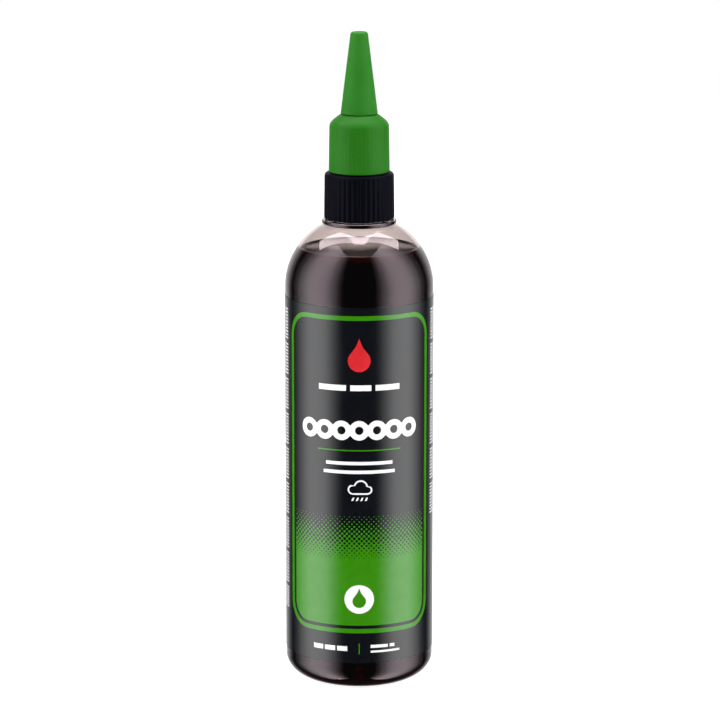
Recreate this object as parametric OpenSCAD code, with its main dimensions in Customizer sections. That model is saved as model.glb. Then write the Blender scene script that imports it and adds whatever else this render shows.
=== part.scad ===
// Chain lube bottle with a ribbed screw cap, a twist-open spout and a pull-off nozzle cover.
// Millimetres, +Z up, origin on the floor under the bottle's axis. The label's front faces -Y.

/* [Bottle] */
// Outside diameter of the blown body
body_d = 57; // [52:0.5:64]
// Height where the straight side ends and the shoulder begins
side_top = 154.6; // [140:0.2:180]
// Vertical half-axis of the domed shoulder's ellipse
shoulder_rise = 27.2; // [20:0.2:34]
// Thickness of the blown wall
wall = 0.7; // [0.5:0.05:1]
// How far the rounded heel reaches in from the side
heel_in = 11.6; // [6:0.2:13]
// Height of the rounded heel
heel_h = 9; // [5:0.2:11]
// Width of the flat ring that the bottle stands on
foot_w = 1; // [0.6:0.1:2]
// Height of the pushed-up centre of the base
push_up = 4; // [2:0.2:6]
// Diameter of the moulding nub under the base
nub_d = 3; // [2:0.2:5]

/* [Neck] */
// Outside diameter of the neck under its thread
neck_d = 21.75; // [21.6:0.05:21.9]
// Bore of the neck
bore_d = 19; // [17:0.2:19.6]
// Height of the neck above its support bead
neck_h = 16; // [15:0.1:18]
// Diameter of the neck just under the support bead
throat_d = 26.4; // [25:0.1:27]
// Diameter of the support bead
bead_d = 28.6; // [28:0.1:30]
// Thickness of the support bead
bead_h = 1.5; // [1:0.1:2]

/* [Thread] */
// Diameter over the neck's thread
thread_d = 23.9; // [23.6:0.05:24.2]
// Rise of the thread in one turn
pitch = 3.175; // [3:0.025:3.4]
// Length of the neck's thread in turns
neck_turns = 1.5; // [1.25:0.05:1.6]
// Length of the cap's thread in turns
cap_turns = 1.25; // [1:0.05:1.3]
// Width of the neck thread at its root
thread_root_w = 2.3; // [2:0.05:2.4]
// Width of the neck thread at its crest
thread_tip_w = 1; // [0.8:0.05:1.1]
// Gap between the two threads, on the flanks and at the crests
thread_gap = 0.25; // [0.2:0.01:0.3]

/* [Oil] */
// Height of the oil's surface
oil_level = 169.7; // [158:0.1:172]
// Gap between the oil and the wall
oil_gap = 0.05; // [0.03:0.01:0.1]

/* [Label] */
// Height of the label's lower edge
label_bottom = 12.2; // [11.5:0.1:15]
// Height of the label's upper edge
label_top = 151.4; // [150.5:0.1:153]
// Thickness of the label film
film_t = 0.15; // [0.1:0.01:0.2]
// Width of the glued overlap at the back
overlap_w = 6; // [3:0.5:12]

/* [Print] */
// Thickness of each layer of ink
ink_t = 0.06; // [0.04:0.01:0.08]
// Half width of the frame line round the front, along the surface
frame_half = 31.8; // [28:0.1:36]
// Height of the frame line's lower edge
frame_bottom = 24.2; // [22:0.1:26]
// Height of the frame line's upper edge
frame_top = 148.2; // [142:0.1:149]
// Width of the frame line
frame_w = 1.75; // [1:0.05:2.5]
// Outer corner radius of the frame line
frame_r = 10; // [6:0.5:13]
// Gap between the frame line and the filled panel
panel_gap = 1.3; // [0.8:0.1:2]
// Height where the filled panel begins to fade
panel_top = 53; // [50:0.5:58]
// Number of stripes that the fading edge is made of
fade_stripes = 6; // [3:1:8]
// Height from one fading stripe to the next
fade_pitch = 3; // [2.4:0.1:3.4]
// Height of the round badge's centre
badge_z = 37.7; // [35:0.1:42]
// Diameter of the round badge
badge_d = 11.4; // [8:0.1:13]
// Height of the printed chain's centre line
chain_z = 104; // [101:0.5:106]
// Pitch of the printed chain's pins
chain_pitch = 6.8; // [6:0.1:7.4]
// Diameter of the printed chain's link ends
link_d = 7.6; // [6:0.1:8]
// Height of the red drop's centre
drop_z = 131; // [128:0.5:134]
// Width of the red drop
drop_d = 8.6; // [6:0.1:10]

/* [Screw cap] */
// Diameter over the cap's ribs at the bottom
cap_d = 26.86; // [26.6:0.02:27.2]
// Diameter over the cap's ribs at the top
cap_top_d = 26.5; // [26.3:0.02:26.6]
// Number of ribs round the cap
cap_ribs = 40; // [32:1:48]
// Depth of the grooves between the cap's ribs
cap_rib_h = 0.38; // [0.2:0.02:0.45]
// Radius of the cap's rounded upper edge
cap_edge_r = 1.3; // [0.8:0.1:1.6]
// Thickness of the cap's deck
deck_t = 1.3; // [1:0.1:1.8]
// Gap between the support bead and the cap
cap_lift = 0.5; // [0.3:0.1:0.8]
// Thickness of the sealing washer in the cap
liner_t = 0.8; // [0.6:0.05:1]

/* [Spout base] */
// Outside diameter of the boss on the deck
boss_d = 17.2; // [17:0.1:17.4]
// Bore of the boss
boss_bore = 14.6; // [14.2:0.1:14.8]
// Height of the boss above the deck
boss_h = 13.4; // [13:0.1:14]
// Depth of the snap bead round the boss
snap_h = 0.6; // [0.4:0.05:0.7]
// Diameter of the post at its foot
post_d = 4.8; // [4:0.1:5.2]
// Diameter of the plug on the post's end
plug_d = 3.3; // [2.8:0.1:3.5]
// Number of ports through the deck
port_n = 4; // [3:1:5]
// Diameter of each port
port_d = 2.2; // [1.6:0.1:2.4]

/* [Twist collar] */
// Diameter of the collar at the bottom
collar_d = 23.3; // [23:0.1:24]
// Diameter of the collar at the top of its side
collar_top_d = 22.7; // [22.5:0.1:22.9]
// Height of the collar's side, up to its rounded edge
collar_side_h = 18.6; // [18:0.1:20]
// Height of the whole collar
collar_h = 21.9; // [21.4:0.1:23]
// Diameter of the flat mouth on top of the collar
mouth_d = 14.2; // [13.8:0.1:14.6]
// Number of grip grooves round the collar
grip_n = 46; // [36:1:54]
// Depth of a grip groove
grip_h = 0.25; // [0.15:0.05:0.35]
// Thickness of the collar's wall
collar_wall = 1.35; // [1.2:0.05:1.45]
// Gap between the deck and the collar
collar_lift = 0.4; // [0.3:0.05:0.6]

/* [Twist motion] */
// How far the nozzle rises when the collar is turned open
nozzle_lift = 3; // [2.6:0.1:3.2]
// How far the collar turns to open
twist_angle = 100; // [90:5:110]
// Width of the helical rib inside the collar
cam_w = 1.4; // [1.2:0.1:1.6]
// Width of each key that carries the nozzle
key_w = 5; // [4:0.2:5.4]
// Height of each key
key_h = 4.6; // [4.2:0.1:4.8]

/* [Nozzle] */
// Diameter of the nozzle's neck, which the cover grips
grip_d = 11.2; // [10.8:0.1:11.4]
// Height of the neck above the collar
grip_h_above = 3.4; // [2.5:0.1:5]
// Diameter at the foot of the slender tube
tube_d = 6.8; // [6:0.1:7.2]
// Diameter at the tip of the slender tube
tip_d = 3.4; // [3:0.1:3.8]
// Bore at the tip
tip_bore = 1.8; // [1.2:0.1:2]
// Wall of the nozzle's sleeve
sleeve_wall = 1.3; // [1.1:0.05:1.4]

/* [Nozzle cover] */
// Diameter of the cover at its foot
cover_d = 14.12; // [13.8:0.02:14.6]
// Diameter of the cover at its blunt tip
cover_tip_d = 6.7; // [6.2:0.1:7.4]
// Height of the cover
cover_h = 30.95; // [28:0.05:36]
// Radius of the cover's rounded tip
cover_edge_r = 0.9; // [0.5:0.1:1.2]
// Thickness of the cover's wall
cover_wall = 1.05; // [0.9:0.05:1.2]
// Gap between the collar and the cover
cover_lift = 0.25; // [0.2:0.05:0.4]
// Space between the nozzle's tip and the cover's end
tip_space = 2.4; // [1.5:0.1:4]

/* [Fits] */
// Radial gap of a piece that slides or turns in another
slide_gap = 0.1; // [0.08:0.01:0.12]
// Plain gap between pieces that pass each other
clear_gap = 0.3; // [0.25:0.01:0.35]

/* [Hidden] */
$fn = 96;

// Radii
body_r = body_d / 2;
neck_r = neck_d / 2;
bore_r = bore_d / 2;
thread_r = thread_d / 2;
cap_r = cap_d / 2;
cap_root_r = thread_r + thread_gap;
boss_r = boss_d / 2;
collar_r = collar_d / 2;
collar_bore_r = collar_r - collar_wall;
sleeve_r = boss_bore / 2 - slide_gap;
grip_r = grip_d / 2;
hole_r = grip_r + clear_gap;

// Heights, from the floor up
shoulder_top = side_top + shoulder_rise * sqrt(1 - pow(throat_d / body_d, 2));
bead_bottom = shoulder_top + 0.2;
bead_top = bead_bottom + bead_h;
neck_top = bead_top + neck_h;
cap_bottom = bead_top + cap_lift;
deck_bottom = neck_top + liner_t;
deck_top = deck_bottom + deck_t;
collar_bottom = deck_top + collar_lift;
collar_top = collar_bottom + collar_h;
cover_bottom = collar_top + cover_lift;
cover_top = cover_bottom + cover_h;

// The thread of the neck ends under the mouth, and the cap's runs half a pitch below it
neck_thread_top = neck_top - 2.6;
neck_thread_bottom = neck_thread_top - neck_turns * pitch;
cap_thread_bottom = neck_thread_bottom - pitch / 2 + pitch / 4;
thread_slope = (thread_root_w - thread_tip_w) / (thread_r - neck_r);

// The snap bead of the boss holds down the flange inside the collar
flange_h = 1.5;
snap_bottom = collar_bottom + flange_h + clear_gap;
snap_t = 1.2;
boss_top = deck_top + boss_h;

// The keys stand in slots of the boss and ride on the collar's helical ribs
key_bottom = snap_bottom + snap_t + 2 * clear_gap;
cam_z = key_bottom + key_h / 2;
cam_r = boss_r + 2 * clear_gap;
key_r = collar_bore_r - clear_gap;
cam_margin = 20;

// The plug closes the partition inside the nozzle
sleeve_top = boss_top - nozzle_lift + 2.6;
partition_t = 1.6;
partition_z = sleeve_top + 0.4;
plug_top = partition_z + nozzle_lift - 0.8;
tube_bottom = collar_top + grip_h_above;
tip_z = cover_top - cover_wall - tip_space;

// Print lies on the film, and white and red ink lie over green
film_r = body_r + film_t;
print_r = film_r;

// Points of an ellipse's arc from one angle to another
function ellipse_arc(cx, cy, rx, ry, from, to, n) =
    [for (i = [0 : n]) let (a = from + (to - from) * i / n) [cx + rx * cos(a), cy + ry * sin(a)]];

// Angle on the shoulder's ellipse at which it reaches a radius
function shoulder_angle(rx, r) = acos(r / rx);

// Half section of the bottle, grown inwards from its outside by an inset
function side_profile(inset, to_r) = concat(
    [[0, push_up + inset]],
    [for (i = [1 : 6]) let (t = i / 6) [(body_r - heel_in - foot_w) * t,
        inset + push_up * (1 - t * t) * (1 - t * t * 0.5)]],
    ellipse_arc(body_r - heel_in, heel_h, heel_in - inset, heel_h - inset, -90, 0, 12),
    ellipse_arc(0, side_top, body_r - inset, shoulder_rise - inset, 0,
        shoulder_angle(body_r - inset, to_r), 24));

// A thread or cam ridge of trapezoid section, wound round the axis and run out at both ends.
// root is buried in the wall that carries the ridge, and rise is the climb in one turn.
module helical_ridge(root, tip, root_w, tip_w, start_z, rise, from, to, fade) {
    n = ceil(abs(to - from) / 15);
    ring = [for (i = [0 : n]) from + (to - from) * i / n];
    points = [for (a = ring)
        let (s = max(0.1, min(1, (a - from) / fade, (to - a) / fade)),
             z = start_z + rise * (a - from) / 360,
             r = root + (tip - root) * s)
        for (p = [[root, -root_w / 2], [r, -tip_w / 2], [r, tip_w / 2], [root, root_w / 2]])
            [p[0] * cos(a), p[0] * sin(a), z + p[1]]];
    sides = [for (i = [0 : n - 1], k = [0 : 3])
        let (a = 4 * i + k, b = 4 * i + (k + 1) % 4) each [[a, a + 4, b + 4], [a, b + 4, b]]];
    faces = concat(sides, [[0, 1, 2, 3], [4 * n + 3, 4 * n + 2, 4 * n + 1, 4 * n]]);
    outward = tip < root ? faces : [for (f = faces) [for (k = [len(f) - 1 : -1 : 0]) f[k]]];
    polyhedron(points, outward);
}

// Outline of a ribbed grip, with flat crests and valleys
function ribbed_outline(r, depth, n) =
    [for (i = [0 : n - 1], k = [[0.22, 0], [0.36, 1], [0.64, 1], [0.78, 0]])
        let (a = (i + k[0]) * 360 / n, q = r - depth * k[1]) [q * cos(a), q * sin(a)]];

module tube(outer, inner, z0, z1) {
    difference() {
        translate([0, 0, z0]) cylinder(r = outer, h = z1 - z0);
        translate([0, 0, z0 - 1]) cylinder(r = inner, h = z1 - z0 + 2);
    }
}

// Blown clear bottle with a domed shoulder, a pushed-up base and a threaded neck
module bottle() {
    color([0.93, 0.93, 0.92, 0.35]) {
        difference() {
            rotate_extrude() polygon(concat(
                side_profile(0, throat_d / 2),
                [[throat_d / 2, bead_bottom], [bead_d / 2 - 0.4, bead_bottom],
                 [bead_d / 2, bead_bottom + 0.4], [bead_d / 2, bead_top - 0.5],
                 [bead_d / 2 - 0.5, bead_top], [neck_r, bead_top],
                 [neck_r, neck_top - 0.4], [neck_r - 0.4, neck_top], [0, neck_top]]));
            rotate_extrude() polygon(concat(side_profile(wall, bore_r), [[0, neck_top - 1]]));
            translate([0, 0, side_top]) cylinder(r = bore_r, h = neck_top - side_top + 1);
        }
        helical_ridge(neck_r - 0.3, thread_r, thread_root_w + 0.3 * thread_slope, thread_tip_w,
            neck_thread_bottom, pitch, 0, 360 * neck_turns, 25);
        translate([0, 0, push_up - 0.4]) cylinder(d = nub_d, h = 0.4 + wall / 2);
    }
}

// Dark oil that fills the bottle up into its shoulder
module lube_oil() {
    color([0.28, 0.09, 0.07, 0.8])
        intersection() {
            rotate_extrude() polygon(concat(side_profile(wall + oil_gap, bore_r), [[0, neck_top]]));
            cylinder(r = body_r, h = oil_level);
        }
}

// Printed film wrapped round the straight side and overlapped at the back
module label_film() {
    overlap_angle = overlap_w / film_r * 180 / PI;
    color([0.06, 0.06, 0.08]) {
        tube(film_r, body_r, label_bottom, label_top);
        rotate([0, 0, 90 - overlap_angle / 2]) rotate_extrude(angle = overlap_angle)
            translate([body_r + film_t / 2, label_bottom]) square([film_t, label_top - label_bottom]);
    }
}

// Places a flat outline, drawn in arc length and height, on the front of the label
function wrapped(points) = [for (p = points) [print_r * sin(p[0] / print_r * 180 / PI), p[1]]];

function corner(x, z, r, from) = r > 0 ? ellipse_arc(x, z, r, r, from, from + 90, 6) : [[x, z]];

function rounded_field(half_w, z0, z1, r0, r1) = wrapped(concat(
    corner(half_w - r0, z0 + r0, r0, -90), corner(half_w - r1, z1 - r1, r1, 0),
    corner(r1 - half_w, z1 - r1, r1, 90), corner(r0 - half_w, z0 + r0, r0, 180)));

function spot(x, z, d, n) = wrapped([for (i = [0 : n - 1])
    [x + d / 2 * cos(360 * i / n), z + d / 2 * sin(360 * i / n)]]);

function bar(x0, x1, z, h) = wrapped([[x0, z - h / 2], [x1, z - h / 2], [x1, z + h / 2], [x0, z + h / 2]]);

// A drop: a round lower half drawn up to a point
function drop(x, z, d) = wrapped(concat(
    [for (i = [0 : 10]) let (a = 150 + 240 * i / 10) [x + d / 2 * cos(a), z + d / 2 * sin(a)]],
    [[x, z + d]]));

module ink(layer) {
    intersection() {
        tube(film_r + layer * ink_t, film_r + (layer - 1) * ink_t, label_bottom, label_top);
        rotate([90, 0, 0]) linear_extrude(body_r + 2) children();
    }
}

// Green ink: a frame line, the filled lower panel with its fading edge, a rule and a small mark
module green_print() {
    inset = frame_w + panel_gap;
    half = frame_half - inset;
    color([0.29, 0.55, 0.08])
        ink(1) {
            difference() {
                polygon(rounded_field(frame_half, frame_bottom, frame_top, frame_r, frame_r));
                polygon(rounded_field(frame_half - frame_w, frame_bottom + frame_w,
                    frame_top - frame_w, frame_r - frame_w, frame_r - frame_w));
            }
            polygon(rounded_field(half, frame_bottom + inset, panel_top, frame_r - inset, 0));
            for (i = [1 : fade_stripes])
                polygon(bar(-half, half, panel_top + (i - 0.5) * fade_pitch,
                    fade_pitch * 0.8 * (1 - i / (fade_stripes + 1))));
            polygon(bar(-16.5, 16.5, 96.2, 0.6));
            polygon(bar(-0.3, 0.3, 18, 4.2));
        }
}

// White ink: a stretch of chain, plain bars, a rain cloud, a round badge and two small marks
module white_print() {
    color([0.95, 0.95, 0.95])
        ink(2) {
            difference() {
                union() {
                    for (i = [-3 : 3]) polygon(spot(i * chain_pitch, chain_z, link_d, 20));
                    polygon(bar(-3 * chain_pitch, 3 * chain_pitch, chain_z, link_d * 0.55));
                }
                for (i = [-3 : 3]) polygon(spot(i * chain_pitch, chain_z, link_d * 0.42, 14));
            }
            for (b = [[-16, -5, 120.5, 2.2], [-3.4, 4.6, 120.5, 2.2], [6.2, 16, 120.5, 2.2],
                      [-13, 13, 91.2, 1.3], [-14, 14, 87.8, 1.3],
                      [-6.5, -1.5, 18, 1.6], [1.5, 6.5, 18, 1.6]])
                polygon(bar(b[0], b[1], b[2], b[3]));
            polygon(spot(-2.4, 80.6, 4.4, 16));
            polygon(spot(0.6, 81.8, 5.6, 16));
            polygon(spot(3.2, 80.4, 3.8, 16));
            polygon(bar(-2.4, 3.2, 79.6, 2.2));
            for (x = [-2.2, 0.4, 3]) polygon(drop(x, 75.6, 1.1));
            difference() {
                polygon(spot(0, badge_z, badge_d, 32));
                polygon(drop(0, badge_z - 0.8, badge_d * 0.45));
            }
        }
}

// Red ink: one drop at the head of the label
module red_print() {
    color([0.75, 0.1, 0.12]) ink(2) polygon(drop(0, drop_z, drop_d));
}

// Ribbed screw cap with its thread, ported deck, slotted boss and central plug
module screw_cap() {
    color([0.05, 0.05, 0.07])
        difference() {
            union() {
                difference() {
                    intersection() {
                        translate([0, 0, cap_bottom]) linear_extrude(deck_top - cap_bottom)
                            polygon(ribbed_outline(cap_r, cap_rib_h, cap_ribs));
                        rotate_extrude() polygon(concat(
                            [[0, cap_bottom], [cap_r - 0.3, cap_bottom], [cap_r, cap_bottom + 0.3]],
                            ellipse_arc(cap_top_d / 2 - cap_edge_r, deck_top - cap_edge_r,
                                cap_edge_r, cap_edge_r, 0, 90, 6),
                            [[0, deck_top]]));
                    }
                    translate([0, 0, cap_bottom - 1])
                        cylinder(r = cap_root_r, h = deck_bottom - cap_bottom + 1);
                }
                helical_ridge(cap_root_r + 0.3, neck_r + thread_gap + 0.1,
                    pitch - thread_tip_w - 2 * thread_gap + 0.3 * thread_slope,
                    pitch - thread_root_w - 2 * thread_gap + thread_gap * thread_slope,
                    cap_thread_bottom, pitch, 90, 90 + 360 * cap_turns, 25);
                tube(boss_r, boss_bore / 2, deck_top - 0.1, boss_top);
                tube(boss_r + snap_h, boss_bore / 2, snap_bottom, snap_bottom + snap_t);
                rotate_extrude() polygon([[0, deck_bottom], [post_d / 2, deck_bottom],
                    [post_d / 2, partition_z - 2.4], [plug_d / 2, partition_z - 1],
                    [plug_d / 2, plug_top - 0.4], [plug_d / 2 - 0.4, plug_top], [0, plug_top]]);
            }
            for (a = [0 : 360 / port_n : 359])
                rotate([0, 0, a + 45]) translate([(post_d + boss_bore) / 4, 0, deck_bottom - 1])
                    cylinder(d = port_d, h = deck_t + 2);
            translate([-boss_r - 2, -key_w / 2 - clear_gap, key_bottom - clear_gap])
                cube([boss_r - boss_bore / 2 + 3, key_w + 2 * clear_gap, boss_h]);
            translate([boss_bore / 2 - 1, -key_w / 2 - clear_gap, key_bottom - clear_gap])
                cube([boss_r - boss_bore / 2 + 3, key_w + 2 * clear_gap, boss_h]);
        }
}

// Soft sealing washer between the neck's rim and the deck
module cap_liner() {
    color([0.85, 0.85, 0.82]) tube(cap_root_r - clear_gap, bore_r, neck_top, deck_bottom);
}

// Ribbed ring that is turned to open the spout, with a helical rib for each key
module twist_collar() {
    tilt = atan((collar_r - collar_top_d / 2) / collar_side_h);
    edge_r = 1.3;
    color([0.18, 0.5, 0.16]) {
        difference() {
            rotate_extrude() polygon(concat(
                [[hole_r, collar_bottom], [collar_r - 0.3, collar_bottom],
                 [collar_r, collar_bottom + 0.3]],
                ellipse_arc(collar_top_d / 2 - edge_r, collar_bottom + collar_side_h,
                    edge_r, edge_r, 0, 60, 5),
                [[mouth_d / 2, collar_top], [hole_r, collar_top]]));
            rotate_extrude() polygon([[0, collar_bottom + flange_h],
                [collar_bore_r, collar_bottom + flange_h],
                [collar_bore_r, collar_bottom + collar_side_h - 0.6],
                [hole_r + 0.6, collar_top - collar_wall], [0, collar_top - collar_wall]]);
            translate([0, 0, collar_bottom - 1]) cylinder(r = boss_r + clear_gap, h = flange_h + 2);
            for (i = [0 : grip_n - 1])
                rotate([0, 0, (i + 0.5) * 360 / grip_n]) translate([collar_r, 0, collar_bottom])
                    rotate([0, -tilt, 0]) rotate([0, 0, 45])
                        translate([-grip_h, -grip_h, 0.8])
                            cube([2 * grip_h, 2 * grip_h, collar_side_h - 1.4]);
        }
        for (start = [0, 180])
            rotate([0, 0, start - twist_angle - cam_margin])
                helical_ridge(collar_bore_r + 0.3, cam_r, cam_w, cam_w,
                    cam_z + nozzle_lift * (twist_angle + cam_margin) / twist_angle,
                    -360 * nozzle_lift / twist_angle, 0, twist_angle + 2 * cam_margin, 6);
    }
}

// Keyed nozzle: a sleeve that slides in the boss, a partition with the valve seat and a slender tube
module nozzle() {
    foot = key_bottom - 0.4;
    color([0.2, 0.55, 0.18])
        difference() {
            union() {
                rotate_extrude() polygon([[0, foot], [sleeve_r, foot], [sleeve_r, sleeve_top],
                    [grip_r, partition_z + partition_t], [grip_r, tube_bottom],
                    [grip_r - 0.5, tube_bottom + 0.5], [tube_d / 2 + 0.4, tube_bottom + 0.5],
                    [tube_d / 2, tube_bottom + 0.9], [tip_d / 2, tip_z - 0.3],
                    [tip_d / 2 - 0.3, tip_z], [0, tip_z]]);
                intersection() {
                    tube(key_r, sleeve_r - sleeve_wall / 2, key_bottom, key_bottom + key_h);
                    translate([-collar_r, -key_w / 2, key_bottom]) cube([collar_d, key_w, key_h]);
                }
            }
            translate([0, 0, foot - 1])
                cylinder(r = sleeve_r - sleeve_wall, h = partition_z - foot + 1);
            translate([0, 0, partition_z - 1]) cylinder(d = plug_d + 2 * slide_gap, h = partition_t + 2);
            rotate_extrude() polygon([[0, partition_z + partition_t],
                [tube_d / 2 - 1.1, partition_z + partition_t], [tube_d / 2 - 1.1, tube_bottom],
                [tip_bore / 2, tip_z - 3], [tip_bore / 2, tip_z + 1], [0, tip_z + 1]]);
            for (start = [0, 180])
                rotate([0, 0, start - 2 * cam_margin])
                    helical_ridge(collar_r, cam_r - clear_gap, cam_w + 2 * clear_gap,
                        cam_w + 2 * clear_gap, cam_z + nozzle_lift * 2 * cam_margin / twist_angle,
                        -360 * nozzle_lift / twist_angle, 0, 4 * cam_margin, 1);
        }
}

// Slender closed cover that pulls off the nozzle
module nozzle_cover() {
    foot_r = cover_d / 2;
    end_r = cover_tip_d / 2;
    land_top = tube_bottom + 0.5 + clear_gap;
    color([0.2, 0.55, 0.18])
        difference() {
            rotate_extrude() polygon(concat(
                [[0, cover_bottom], [foot_r - 0.2, cover_bottom], [foot_r, cover_bottom + 0.2]],
                ellipse_arc(end_r - cover_edge_r, cover_top - cover_edge_r,
                    cover_edge_r, cover_edge_r, 7, 90, 6),
                [[0, cover_top]]));
            translate([0, 0, cover_bottom - 1]) cylinder(r = grip_r + slide_gap, h = land_top - cover_bottom + 1);
            rotate_extrude() polygon([[0, land_top - 0.1], [grip_r + slide_gap, land_top - 0.1],
                [end_r - cover_wall, cover_top - cover_wall - 0.4],
                [end_r - cover_wall - 0.4, cover_top - cover_wall], [0, cover_top - cover_wall]]);
        }
}

bottle();
lube_oil();
label_film();
green_print();
white_print();
red_print();
screw_cap();
cap_liner();
twist_collar();
nozzle();
nozzle_cover();
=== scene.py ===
import math

import bmesh
import bpy
from mathutils import Matrix, Vector


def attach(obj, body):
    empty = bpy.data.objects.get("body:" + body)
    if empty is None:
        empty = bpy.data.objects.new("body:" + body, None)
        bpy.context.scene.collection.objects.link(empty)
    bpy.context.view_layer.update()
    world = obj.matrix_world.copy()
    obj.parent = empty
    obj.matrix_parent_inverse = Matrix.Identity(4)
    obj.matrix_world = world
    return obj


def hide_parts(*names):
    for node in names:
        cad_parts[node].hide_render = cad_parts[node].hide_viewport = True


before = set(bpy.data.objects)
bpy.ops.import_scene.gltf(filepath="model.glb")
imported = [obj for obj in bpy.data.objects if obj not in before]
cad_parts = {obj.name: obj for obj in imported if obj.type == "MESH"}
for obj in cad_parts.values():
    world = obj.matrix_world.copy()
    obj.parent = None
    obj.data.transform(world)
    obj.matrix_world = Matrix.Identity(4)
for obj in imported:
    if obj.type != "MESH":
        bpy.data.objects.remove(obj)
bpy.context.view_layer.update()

# Bottle
# The bottle is blown from clear PET in one piece: a pushed-up base with a
# moulding nub, a round heel, a straight side, a domed shoulder, a support
# bead and a neck with a raised thread. Its wall is 0.7 mm thick.
mm, weld = 0.001, 1e-6
body_r, wall = 28.5, 0.7
heel_in, heel_h, foot_w = 11.6, 9.0, 1.0
push_up, nub_r, nub_h, nub_edge = 4.0, 1.5, 0.4, 0.15
side_top, shoulder_rise, throat_r = 154.6, 27.2, 13.2
bead_bottom, bead_top, bead_r = 178.906, 180.406, 14.3
neck_r, bore_r, neck_top = 10.875, 9.5, 196.406
throat_edge, bead_edge, neck_edge = 0.3, 0.5, 0.4
thread_r, pitch, neck_turns, thread_drop = 11.95, 3.175, 1.5, 2.6
thread_root_w, thread_tip_w, thread_gap = 2.3, 1.0, 0.25
thread_sink, run_out = 0.3, 25
neck_thread_z = neck_top - thread_drop - neck_turns * pitch
flank = (thread_root_w - thread_tip_w) / (thread_r - neck_r)
base_steps, heel_steps, dome_steps, round_steps, nub_steps = 14, 20, 40, 160, 32


def bow(centre_r, centre_z, r, z, start, end, steps):
    """Points of an ellipse's arc, as (radius, height) in millimetres."""
    turns = [math.radians(start + (end - start) * i / steps) for i in range(steps + 1)]
    return [(centre_r + r * math.cos(a), centre_z + z * math.sin(a)) for a in turns]


def eased(outline, corners, steps=4, most=0.45):
    """Rounds some corners of an outline; corners maps a point's place to a radius."""
    soft = []
    for i, point in enumerate(outline):
        if i not in corners:
            soft.append(point)
            continue
        here = Vector(point)
        legs = [Vector(outline[i - 1]) - here, Vector(outline[(i + 1) % len(outline)]) - here]
        a, b = [here + leg.normalized() * min(corners[i], leg.length * most) for leg in legs]
        for k in range(steps + 1):
            t = k / steps
            spot = a * (1 - t) ** 2 + here * 2 * t * (1 - t) + b * t ** 2
            soft.append((spot.x, spot.y))
    return soft


def turned(outline, steps, start=0.0, angle=360.0):
    """Spins a half outline round the axis; it is closed unless it starts on the axis."""
    bm = bmesh.new()
    spots = [bm.verts.new((r * mm, 0, z * mm)) for r, z in outline]
    ends = spots[1:] if outline[0][0] == 0 else spots[1:] + spots[:1]
    lines = [bm.edges.new(pair) for pair in zip(spots, ends)]
    section = [] if angle == 360 else [bm.faces.new(spots)]
    bmesh.ops.rotate(bm, verts=spots, matrix=Matrix.Rotation(math.radians(start), 3, "Z"))
    bmesh.ops.spin(bm, geom=spots + lines + section, cent=(0, 0, 0), axis=(0, 0, 1),
                   angle=math.radians(angle), steps=steps, use_merge=angle == 360)
    bmesh.ops.remove_doubles(bm, verts=bm.verts, dist=weld)
    bmesh.ops.recalc_face_normals(bm, faces=bm.faces)
    return bm


def wound(root, tip, root_w, tip_w, start_z, rise, start, turn, fade):
    """A thread or cam: a four-sided section wound up the axis, run out at both ends."""
    step_angle, thin_end = 5, 0.1
    section = [(root, -root_w / 2), (tip, -tip_w / 2), (tip, tip_w / 2), (root, root_w / 2)]
    steps = math.ceil(turn / step_angle)
    bm = bmesh.new()
    spots = [bm.verts.new((r * mm, 0, (start_z + z) * mm)) for r, z in section]
    bmesh.ops.spin(bm, geom=[bm.faces.new(spots)], cent=(0, 0, 0), axis=(0, 0, 1),
                   dvec=(0, 0, rise * turn / 360 / steps * mm),
                   angle=math.radians(turn), steps=steps)
    for v in bm.verts:
        angle = math.degrees(math.atan2(v.co.y, v.co.x)) % 360
        lap = round(((v.co.z / mm - start_z) * 360 / rise - angle) / 360)
        along = angle + 360 * lap
        share = max(thin_end, min(1, along / fade, (turn - along) / fade))
        r = v.co.xy.length / mm
        v.co.xy *= (root + (r - root) * share) / r
    bmesh.ops.rotate(bm, verts=bm.verts, matrix=Matrix.Rotation(math.radians(start), 3, "Z"))
    bmesh.ops.recalc_face_normals(bm, faces=bm.faces)
    return bm


def worked(bm, tool, operation):
    """Joins a tool's shape to a piece, or cuts it away."""
    pair = []
    for shape in (bm, tool):
        mesh = bpy.data.meshes.new("blank")
        shape.to_mesh(mesh)
        shape.free()
        pair.append(bpy.data.objects.new("blank", mesh))
        bpy.context.scene.collection.objects.link(pair[-1])
    cut = pair[0].modifiers.new("cut", "BOOLEAN")
    cut.object, cut.operation, cut.solver = pair[1], operation, "EXACT"
    result = bmesh.new()
    result.from_object(pair[0], bpy.context.evaluated_depsgraph_get())
    for blank in pair:
        bpy.data.meshes.remove(blank.data)
    bmesh.ops.remove_doubles(result, verts=result.verts, dist=weld)
    return result


def finished(bm, name, materials, body, slot, *nodes, crease=38):
    """Makes the piece's object, smooth but for its sharp edges, fixes it to its body and hides the CAD
    parts it stands in for.
    """
    for face in bm.faces:
        face.smooth = True
    for edge in bm.edges:
        edge.smooth = edge.calc_face_angle(0) < math.radians(crease)
    mesh = bpy.data.meshes.new(name)
    bm.to_mesh(mesh)
    bm.free()
    for material in materials:
        mesh.materials.append(material)
    piece = bpy.data.objects.new(name, mesh)
    bpy.context.scene.collection.objects.link(piece)
    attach(piece, body)
    if nodes:
        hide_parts(*nodes)


def surface(name, colour, roughness, **sockets):
    """A material with the shader's own sockets set; returns it with its nodes and shader."""
    material = bpy.data.materials.new(name)
    material.use_nodes = True
    shader = material.node_tree.nodes["Principled BSDF"]
    shader.inputs["Base Color"].default_value = (*colour, 1)
    shader.inputs["Roughness"].default_value = roughness
    for socket, value in sockets.items():
        shader.inputs[socket.replace("_", " ")].default_value = value
    return material, material.node_tree, shader


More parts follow.
